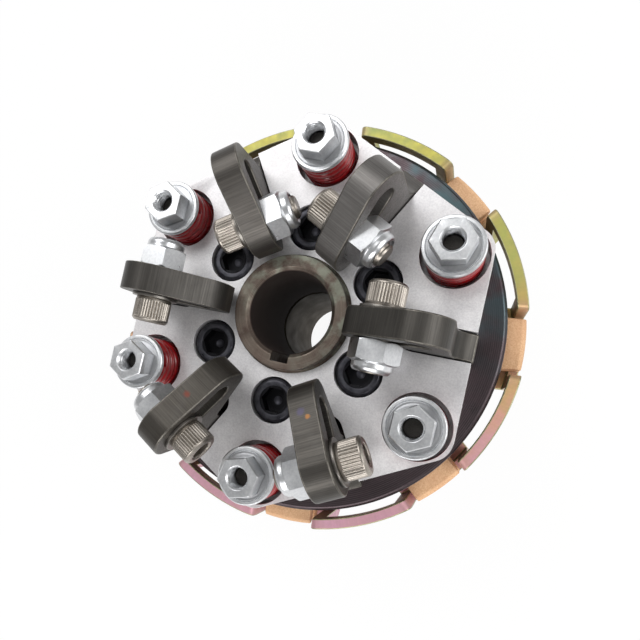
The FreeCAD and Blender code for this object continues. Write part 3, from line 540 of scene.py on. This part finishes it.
def passivated_zinc(name):
    """Zinc with a yellow passivation. Its film shifts with the direction from the shaft from mauve below
    to yellow-green above and turns rose towards the ends of each finger. Painted shade darkens it to olive
    where the wall faces the shaft."""
    finish = Finish(name, 0.55)
    wires = finish.wires
    split = wires.node("SeparateXYZ", {0: finish.place})
    upward = wires.span(split.outputs[1], -60.0, 60.0)
    cloud = wires.noise(finish.place, 0.075, 3.0)
    film = wires.math("ADD", wires.math("MULTIPLY", upward, 0.7), wires.math("MULTIPLY", cloud, 0.55))
    tint = wires.ramp(wires.math("SUBTRACT", film, 0.13), [
        (0.0, seen("dcaac4")), (0.3, seen("e0a7b6")), (0.42, seen("e0a994")), (0.54, seen("d2b06c")),
        (0.68, seen("a9ad58")), (0.78, seen("bcb552")), (0.9, seen("93a862")), (1.0, seen("a8ae58"))])
    swing = wires.math("ARCTAN2", split.outputs[1], split.outputs[0])
    phase = wires.math("MULTIPLY", wires.math("SUBTRACT", swing, math.radians(FINGER_ANGLE)), FINGERS)
    ends = wires.span(wires.math("COSINE", phase), 0.1, -0.45)
    tint = finish.stained(tint, ends, 0.6, "c0908c")
    outward = wires.node("VectorMath", {0: wires.flat(finish.place)}, operation="NORMALIZE").outputs[0]
    facing = wires.node("TexCoord").outputs["Normal"]
    inward = wires.node("VectorMath", {0: facing, 1: outward}, operation="DOT_PRODUCT").outputs["Value"]
    inner_wall_shade = wires.span(inward, -0.3, -0.8)
    grain = finish.effect(GRAIN, Fine=4.0, Broad=0.3)
    tint = finish.stained(tint, grain["Clouds"], 0.25, "8b8468")
    along = wires.math("MULTIPLY", swing, DRUM_RADIUS)
    unrolled = wires.node("CombineXYZ", {0: along, 2: split.outputs[2]}).outputs[0]
    lines = finish.effect(TOOL_LINES, Vector=unrolled, Lines_per_mm=(2.4, 0.1, 0.25), Depth=1.0)
    tint = finish.stained(tint, lines["Shade"], 0.25, "8a7468")
    # Painted shade: faces of the wall that look towards the shaft are darkened to olive (47493a).
    finish.colour(finish.stained(tint, inner_wall_shade, 0.8, "47493a"))
    finish.roughness(grain["Clouds"], 0.4, 0.55)
    finish.bump(lines["Height"], 0.25)
    return finish.material


def friction_lining(name):
    """Pressed lining on a steel core: warm tan with fine bright and dark grains."""
    finish = Finish(name, 0.1)
    grain = finish.effect(GRAIN, Fine=2.8, Broad=0.2)
    base = finish.wires.blend(grain["Speckle"], seen("cb9b6f"), seen("eac49b"))
    finish.colour(finish.stained(base, grain["Clouds"], 0.4, "cf9d78"))
    finish.roughness(grain["Speckle"], 0.55, 0.8)
    finish.bump(grain["Height"], 0.5)
    return finish.material


def enamel(name, light, dark):
    """Glossy paint on spring wire, thin and a little uneven."""
    finish = Finish(name, 0.0, Coat_Weight=0.5, Coat_Roughness=0.12)
    grain = finish.effect(GRAIN, Fine=1.6, Broad=0.35)
    finish.colour(finish.wires.blend(grain["Clouds"], seen(dark), seen(light)))
    finish.roughness(grain["Clouds"], 0.24, 0.36)
    finish.bump(grain["Height"], 0.06)
    return finish.material


# What the finishes follow: radii of the screws' sockets and of the hub's bore, where shade is painted, and of
# the drum's wall, and the direction towards which a painted sheen is laid on turned steel
SCREW_SOCKET = 3.95
HUB_BORE = 11.11
DRUM_RADIUS = 57.0
UPPER_RIGHT = (0.5, 0.85, 0)

CARRIER_ALUMINIUM = plain_metal("satin_aluminium", "efeeee", "cbc9cb", (0.42, 0.55), metallic=0.65,
                                fine=2.4, strength=0.35)
CARRIER_EDGE = plain_metal("aluminium_edge", "e4e4e4", "c4c4c6", (0.25, 0.4))
# Painted sheen: lighter greenish patches (84877a) towards the hub's upper right; painted shade in its bore.
HUB_STEEL = lathed_metal("hub_steel", "80756a", "4b443e", (0.28, 0.8), metallic=0.85, stain="5b4a44",
                         sheen=("84877a", -14.0, 4.0, 0.3), bore=HUB_BORE)
# Painted sheen: teal patches (4a5f63) towards the pressure plate's upper right.
PRESSURE_STEEL = lathed_metal("pressure_steel", "645b5d", "40393c", (0.27, 0.42), feed=0.5,
                              stain="4b4043", sheen=("4a5f63", 15.0, 45.0, 0.09))
FLOATER_STEEL = lathed_metal("floater_steel", "6a6864", "45423f", (0.35, 0.5))
FRICTION_LINING = friction_lining("friction_lining")
DRUM_ZINC = passivated_zinc("passivated_zinc")
DRUM_EDGE = plain_metal("zinc_edge", "b5b28c", "8e8b66", (0.3, 0.42), metallic=0.85, fine=2.0)
SLEEVE_STEEL = lathed_metal("sleeve_steel", "77726a", "4e4a45", (0.32, 0.46))
BUSHING_BRONZE = lathed_metal("sintered_bronze", "726a5c", "4f483e", (0.6, 0.75), metallic=0.8)
THRUST_STEEL = lathed_metal("thrust_steel", "b4b2ae", "8c8a86", (0.25, 0.38))
RING_STEEL = plain_metal("ring_steel", "4d4a46", "2c2a28", (0.35, 0.5))
PIN_STEEL = plain_metal("pin_steel", "a9a7a2", "7f7c78", (0.25, 0.35))
STUD_STEEL = plain_metal("stud_steel", "4b4845", "2b2927", (0.4, 0.5), metallic=0.8)
FLANGE_ZINC = flange_zinc("flange_zinc", "e6e7e8", "c3c5c8", (0.27, 0.4))
NUT_ZINC = plain_metal("bright_zinc", "e6e7e8", "c3c5c8", (0.27, 0.4), fine=1.6, strength=0.04)
BOLT_STEEL = plain_metal("bolt_steel", "b9b2a9", "7d766e", (0.3, 0.42), fine=3.0)
WASHER_ZINC = plain_metal("washer_zinc", "96928c", "5f5b57", (0.3, 0.42))
SCREW_BLACK = black_oxide("black_oxide", "5a5a60", "303036")
SPRING_RED = enamel("red_enamel", "ad171d", "7d0d12")
LEVER_EDGE = plain_metal("rubbed_edge", "7c7871", "484540", (0.3, 0.45), metallic=0.85, fine=1.2)


# Coil springs: red, close wound, each standing in its pocket under a flanged nut

SPRING_OUTER = 7.3
WIRE = 2.6
WIRE_RADIUS = 0.985 * WIRE / 2
COIL_PITCH = 2.63
RINGS_PER_TURN = 44
RING_POINTS = 28
GROUND = 0.15 * WIRE


def coil_spring(k):
    """Wire swept along a helix. The helix runs from the floor of the pocket to the nut at one pitch a
    turn, and each ring of the wire is its radius times the cosine of its swing outwards and the sine
    upwards, each to the power 0.75 so that the wire is flattened where its turns touch. Rings past either
    end are cut off flat, as ground ends are, and shrink to a point there."""
    node = f"spring_{k}"
    low, high = (np.array(corner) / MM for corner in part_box(node))
    place = basis([*node_middle(node)[:2], low[2]], (1, 0, 0), (0, 0, 1))
    length = high[2] - low[2]
    turns = (length - WIRE) / COIL_PITCH
    along = np.linspace(0, 1, int(turns * RINGS_PER_TURN))[:, None]
    along = np.concatenate([along[:1], along, along[-1:]])
    swing = math.tau * turns * along
    radius = np.full_like(along, WIRE_RADIUS)
    radius[[0, -1]] = 0
    ring = np.linspace(0, math.tau, RING_POINTS, endpoint=False)[None, :]
    outwards, upwards = (np.sign(part) * np.abs(part) ** 0.75 for part in (np.cos(ring), np.sin(ring)))
    reach = SPRING_OUTER - WIRE / 2 + radius * outwards
    lift = WIRE / 2 + (length - WIRE) * along + radius * upwards
    lift = np.clip(lift, GROUND * (1 - np.minimum(along * turns, 1)), length)
    points = np.stack([reach * np.cos(swing), reach * np.sin(swing), lift], -1)
    piece = piece_of(f"spring_wire_{k}", [((points, True), place)], SPRING_RED, "carrier",
                     node, 60)
    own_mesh(piece)


# Flanged nuts, one on each stud: a hexagon on a round flange with a raised ring

NUT_FLAT = 4.7625
NUT_CORNER = 5.6
NUT_FOOT = 1.6
NUT_SHOULDER = 7.08
NUT_HEIGHT = 7.35
NUT_BORE = 2.43
NUT_PITCH = 1.06
NUT_THREAD = 0.32
NUT_TURN = (11.7, 56.5, 26.8, 29.8, 18.2, 28.9)
ROUND_POINTS = 96


def flanged_nut(k):
    """A profile turned about the stud, its radius cut above the flange to the hexagon, which narrows past
    the shoulder by nine tenths of the height. In the bore the thread's wave is added to the radius."""
    turn = math.radians(NUT_TURN[k - 1])
    foot = [*node_middle(f"spring_{k}")[:2], node_top(f"spring_{k}")]
    place = basis(foot, (math.cos(turn), math.sin(turn), 0), (0, 0, 1))
    outside = rounded([
        (NUT_BORE, 0), (7.2, 0), (7.5, 0.25), (7.5, 1.25), (7.25, 1.5), (6.55, 1.55), (6.4, 1.25),
        (6.25, 1.57), (NUT_CORNER, NUT_FOOT), (NUT_CORNER, NUT_SHOULDER), (5.2, NUT_HEIGHT),
        (3.0, NUT_HEIGHT), (2.6, 6.95)], 0.06, 3)
    thread = np.stack([np.full(34, NUT_BORE), np.linspace(6.7, 0.0, 34)], -1)
    profile = np.concatenate([outside, thread, outside[:1]])

    def shape(radius, height, swing):
        turned_in = np.maximum(height - NUT_SHOULDER, 0) * 0.9
        hexed = np.minimum(radius, hexagon(swing + math.pi / 6, NUT_FLAT - turned_in))
        six_sided = (height > NUT_FOOT - 0.01) & (radius > 3.2) & (radius < NUT_CORNER + 0.01)
        radius = np.where(six_sided, hexed, radius)
        bore = (radius < NUT_BORE + 0.01) & (height > 0.2) & (height < 6.75)
        return np.where(bore, radius + NUT_THREAD * thread_wave(height, swing, NUT_PITCH), radius)
    return lathe(profile, ROUND_POINTS, shape), place


# Socket screws of the carrier plate

SCREW_CIRCLE = 23.8
SCREW_HEAD = 7.9
SCREW_FLAT = 3.175
SCREW_SHANK = 3.95
SCREW_LENGTH = 17.5


def socket_screw(k):
    """A profile turned about the screw: drill point, six-sided socket, chamfered head and shank. In the
    socket the radius is no more than the distance to the hexagon's side."""
    middle = node_middle(f"spring_{k}")[:2]
    out = middle / np.linalg.norm(middle)
    foot = [*(out * SCREW_CIRCLE), node_top("carrier_screws") - SCREW_HEAD]
    place = basis(foot, (*out, 0), (0, 0, 1))
    profile = rounded([
        (0, 3.2), (1.2, 3.75), (1.25, 3.9), (2.6, 3.9), (3.7, 4.0), (3.7, 7.45), (4.0, SCREW_HEAD),
        (5.25, SCREW_HEAD), (5.95, 7.2), (5.95, 0.3), (5.7, 0), (SCREW_SHANK, 0),
        (SCREW_SHANK, -SCREW_LENGTH + 0.5), (3.5, -SCREW_LENGTH), (0, -SCREW_LENGTH)], 0.18)

    def shape(radius, height, swing):
        socket = (radius < 3.9) & (height > 3.95) & (height < 7.5)
        return np.where(socket, np.minimum(radius, hexagon(swing, SCREW_FLAT)), radius)
    return lathe(profile, ROUND_POINTS, shape), place


# Weight bolts of the levers, with their washers and lock nuts

BOLT_HEAD = 6.35
BOLT_LENGTH = 15.9
BOLT_RADIUS = 3.15
BOLT_SIDE = 4.76
BOLT_FLAT = 2.38
BOLT_PITCH = 1.27
BOLT_THREAD = 0.3
KNURLS = 36
KNURL_DEPTH = 0.26
WASHER_THICKNESS = 0.8
WASHER_BORE = 3.25
WASHER_RADIUS = 5.9
LOCK_BORE = 3.22
LOCK_FLAT = 5.555
LOCK_HALF = 3.95


def across_lever(k):
    """Direction across the lever, from its nut to its bolt's head."""
    return np.cross((0, 0, 1), station(k))


def weight_bolt(k):
    """A profile turned about the bolt. Along the head's side the radius dips for each knurl, by the square
    of half the sum of one and the cosine of the swing times their number. In the socket it is no more
    than the distance to the hexagon's side, and near the end the thread's wave is taken off it."""
    across = across_lever(k)
    seat = node_middle(f"weight_washer_{k}") + across * WASHER_THICKNESS / 2
    place = basis(seat, (0, 0, 1), across)
    head = rounded([
        (0, 3.15), (2.2, 3.35), (2.76, 3.4), (2.76, 6.0), (3.05, BOLT_HEAD), (4.15, BOLT_HEAD),
        (BOLT_SIDE, 5.75), (BOLT_SIDE, 5.2), (BOLT_SIDE, 0.9), (4.55, 0), (BOLT_RADIUS, 0)], 0.14)
    thread = np.stack([np.full(30, BOLT_RADIUS), np.linspace(-11.0, -BOLT_LENGTH + 0.5, 30)], -1)
    end = np.array([(2.6, -BOLT_LENGTH), (0, -BOLT_LENGTH)])
    profile = np.concatenate([head, thread, end])

    def shape(radius, height, swing):
        socket = (radius < 2.8) & (height > 3.38) & (height < 6.05)
        radius = np.where(socket, np.minimum(radius, hexagon(swing, BOLT_FLAT)), radius)
        side = (radius > BOLT_SIDE - 0.06) & (height > 0.8) & (height < 5.4)
        groove = (0.5 + 0.5 * np.cos(KNURLS * swing)) ** 2
        radius = np.where(side, radius - KNURL_DEPTH * groove, radius)
        threaded = (height < -11.4) & (radius > 3.0)
        return np.where(threaded, radius - BOLT_THREAD * thread_wave(height, swing, BOLT_PITCH), radius)
    bolt = lathe(profile, KNURLS * 6, shape)
    piece_of(f"weight_bolt_{k}_finished", [(bolt, place)], BOLT_STEEL, f"arm_{k}",
             f"weight_bolt_{k}", 40)


def weight_washer(k):
    """A rounded ring: its closed profile turned about the bolt."""
    half = WASHER_THICKNESS / 2
    place = basis(node_middle(f"weight_washer_{k}"), (0, 0, 1), across_lever(k))
    profile = rounded([
        (WASHER_BORE, 0), (WASHER_BORE, half), (WASHER_RADIUS, half), (WASHER_RADIUS, -half),
        (WASHER_BORE, -half), (WASHER_BORE, 0)], 0.16)
    piece_of(f"weight_washer_{k}_finished", [(lathe(profile, 64), place)], WASHER_ZINC, f"arm_{k}",
             f"weight_washer_{k}")


def lock_nut(k):
    """A closed profile turned about the bolt: the six-sided part, cut to the hexagon and turned down at
    both ends, and the round collar rolled in over its insert."""
    place = basis(node_middle(f"weight_nut_{k}"), (0, 0, 1), -across_lever(k))
    profile = rounded([
        (LOCK_BORE, 0.6), (LOCK_BORE, -LOCK_HALF), (5.3, -LOCK_HALF), (6.45, -3.45), (6.45, 1.0),
        (5.5, 1.45), (4.95, 1.6), (4.9, 2.0), (4.9, 2.95), (4.45, 3.75), (3.9, LOCK_HALF), (3.75, 3.6),
        (3.7, 3.3), (LOCK_BORE, 3.15), (LOCK_BORE, 0.6)], 0.3, 5)

    def shape(radius, height, swing):
        return np.where(height < 1.5, np.minimum(radius, hexagon(swing, LOCK_FLAT)), radius)
    piece_of(f"weight_nut_{k}_finished", [(lathe(profile, ROUND_POINTS, shape), place)], NUT_ZINC,
             f"arm_{k}", f"weight_nut_{k}")


# Levers: how dark each one is, and the spots that two of them carry, each with its colour and reach

LEVER_LOOKS = {
    1: ("53504b", "2c2a28", []),
    2: ("8a8784", "565351", []),
    3: ("5c5853", "353230", []),
    4: ("4f4c48", "2d2b29", []),
    5: ("534f48", "302c29", [((-10.6, -0.4, 29.6), "69372c", 1.1)]),
    6: ("534f4a", "2f2d2a", [((-12.4, 0.9, 29.0), "8e6238", 0.8), ((-14.0, -0.7, 28.3), "4a4659", 1.2)]),
}


def lever(k):
    """The CAD model's lever, with its finish lined up on its pivot."""
    light, dark, spots = LEVER_LOOKS[k]
    steel = blackened_steel(f"blackened_steel_{k}", light, dark, spots)
    place = basis(station(k) * PIVOT_CIRCLE + (0, 0, PIVOT_HEIGHT), station(k), (0, 0, 1))
    dressed(f"lever_{k}", steel, f"arm_{k}", 0.42, 3, LEVER_EDGE, place)


levers = sorted(LEVER_LOOKS)
for k in levers:
    coil_spring(k)
    weight_bolt(k)
    weight_washer(k)
    lock_nut(k)
    lever(k)
piece_of("spring_nuts_finished", [flanged_nut(k) for k in levers], FLANGE_ZINC, "pressure",
         "spring_nuts")
piece_of("carrier_screws_finished", [socket_screw(k) for k in levers], SCREW_BLACK, "carrier",
         "carrier_screws")
dressed("carrier_plate", CARRIER_ALUMINIUM, "carrier", 0.45, 3, CARRIER_EDGE)
dressed("hub", HUB_STEEL, "carrier", 0.22)
dressed("lever_pins", PIN_STEEL, "carrier", 0.25)
dressed("pressure_plate", PRESSURE_STEEL, "pressure", 0.3)
dressed("spring_studs", STUD_STEEL, "pressure", 0.35)
dressed("floater_plate", FLOATER_STEEL, "floater", 0.25)
dressed("friction_disc_front", FRICTION_LINING, "front_disc", 0.35, 3)
dressed("friction_disc_rear", FRICTION_LINING, "rear_disc", 0.35, 3)
dressed("drum", DRUM_ZINC, "clutch_drum", 0.3, 3, DRUM_EDGE)
dressed("sprocket_sleeve", SLEEVE_STEEL, "clutch_drum", 0.2)
dressed("drum_bushing", BUSHING_BRONZE, "clutch_drum", 0.2)
dressed("thrust_washer", THRUST_STEEL, "clutch_drum", 0.15)
dressed("retaining_ring", RING_STEEL, "clutch_drum", 0.15)


# Camera, floor and light

def add_camera():
    """The photograph's camera: a swing about a level axis after a roll, with its middle shifted."""
    data = bpy.data.cameras.new("camera")
    data.sensor_width = SENSOR
    data.lens = FOCAL_PIXELS / FRAME_PIXELS * SENSOR
    data.shift_x = (FRAME_PIXELS / 2 - MIDDLE_PIXEL[0]) / FRAME_PIXELS
    data.shift_y = (MIDDLE_PIXEL[1] - FRAME_PIXELS / 2) / FRAME_PIXELS
    data.clip_start = 0.01
    camera = bpy.data.objects.new("camera", data)
    axis = Vector((*CAMERA_SWING, 0.0))
    turn = Matrix.Rotation(axis.length, 4, axis.normalized()) @ Matrix.Rotation(CAMERA_ROLL, 4, "Z")
    camera.matrix_world = Matrix.Translation(Vector(CAMERA_PLACE) * MM) @ turn
    bpy.context.collection.objects.link(camera)
    bpy.context.scene.camera = camera


def add_lamp(name, place, size, power):
    """A soft rectangle of light, in metres and watts, aimed at the middle of the clutch."""
    data = bpy.data.lights.new(name, "AREA")
    data.shape = "RECTANGLE"
    data.size, data.size_y = size
    data.energy = power
    lamp = bpy.data.objects.new(name, data)
    lamp.location = place
    lamp.rotation_euler = (Vector(LAMP_AIM) - Vector(place)).to_track_quat("-Z", "Y").to_euler()
    bpy.context.collection.objects.link(lamp)


def add_floor():
    """A wide pale square under the sleeve's end. To the camera it is nearly white and keeps a shadow."""
    corners = [(x * FLOOR_REACH, y * FLOOR_REACH, 0) for x, y in ((-1, -1), (1, -1), (1, 1), (-1, 1))]
    mesh = bpy.data.meshes.new("floor")
    mesh.from_pydata(corners, [], [(0, 1, 2, 3)])
    floor = bpy.data.objects.new("floor", mesh)
    bpy.context.collection.objects.link(floor)
    material = bpy.data.materials.new("pale_floor")
    material.use_nodes = True
    wires = Wiring(material.node_tree)
    shader = material.node_tree.nodes["Principled BSDF"]
    shader.inputs["Base Color"].default_value = (0.86, 0.86, 0.86, 1)
    shader.inputs["Roughness"].default_value = 0.9
    glow = wires.node("Emission", {"Color": (1, 1, 1, 1), "Strength": 1.0})
    rays = wires.node("LightPath").outputs
    seen_by = wires.math("MAXIMUM", rays["Is Camera Ray"],
                         wires.math("MAXIMUM", rays["Is Glossy Ray"], rays["Is Transmission Ray"]))
    share = wires.math("MULTIPLY", seen_by, FLOOR_GLOW)
    mix = wires.node("MixShader", {0: share, 1: shader.outputs[0], 2: glow.outputs[0]})
    output = material.node_tree.nodes["Material Output"]
    material.node_tree.links.new(mix.outputs[0], output.inputs["Surface"])
    mesh.materials.append(material)


def add_world():
    """Even pale light, white where the camera sees past the floor."""
    world = bpy.data.worlds.new("studio")
    world.use_nodes = True
    wires = Wiring(world.node_tree)
    background = world.node_tree.nodes["Background"]
    rays = wires.node("LightPath").outputs
    strength = wires.span(rays["Is Camera Ray"], 0.0, 1.0, WORLD_LIGHT, 1.0)
    background.inputs["Color"].default_value = (1, 1, 1, 1)
    world.node_tree.links.new(strength, background.inputs["Strength"])
    bpy.context.scene.world = world


bpy.context.scene.view_settings.view_transform = "Standard"
add_camera()
add_floor()
add_world()
add_lamp("key_light", (-0.35, 0.45, 0.75), (0.6, 0.6), 4.0)
add_lamp("fill_light", (0.6, 0.1, 0.5), (0.5, 0.5), 3.0)
add_lamp("front_light", (0.05, -0.6, 0.45), (0.6, 0.3), 3.0)
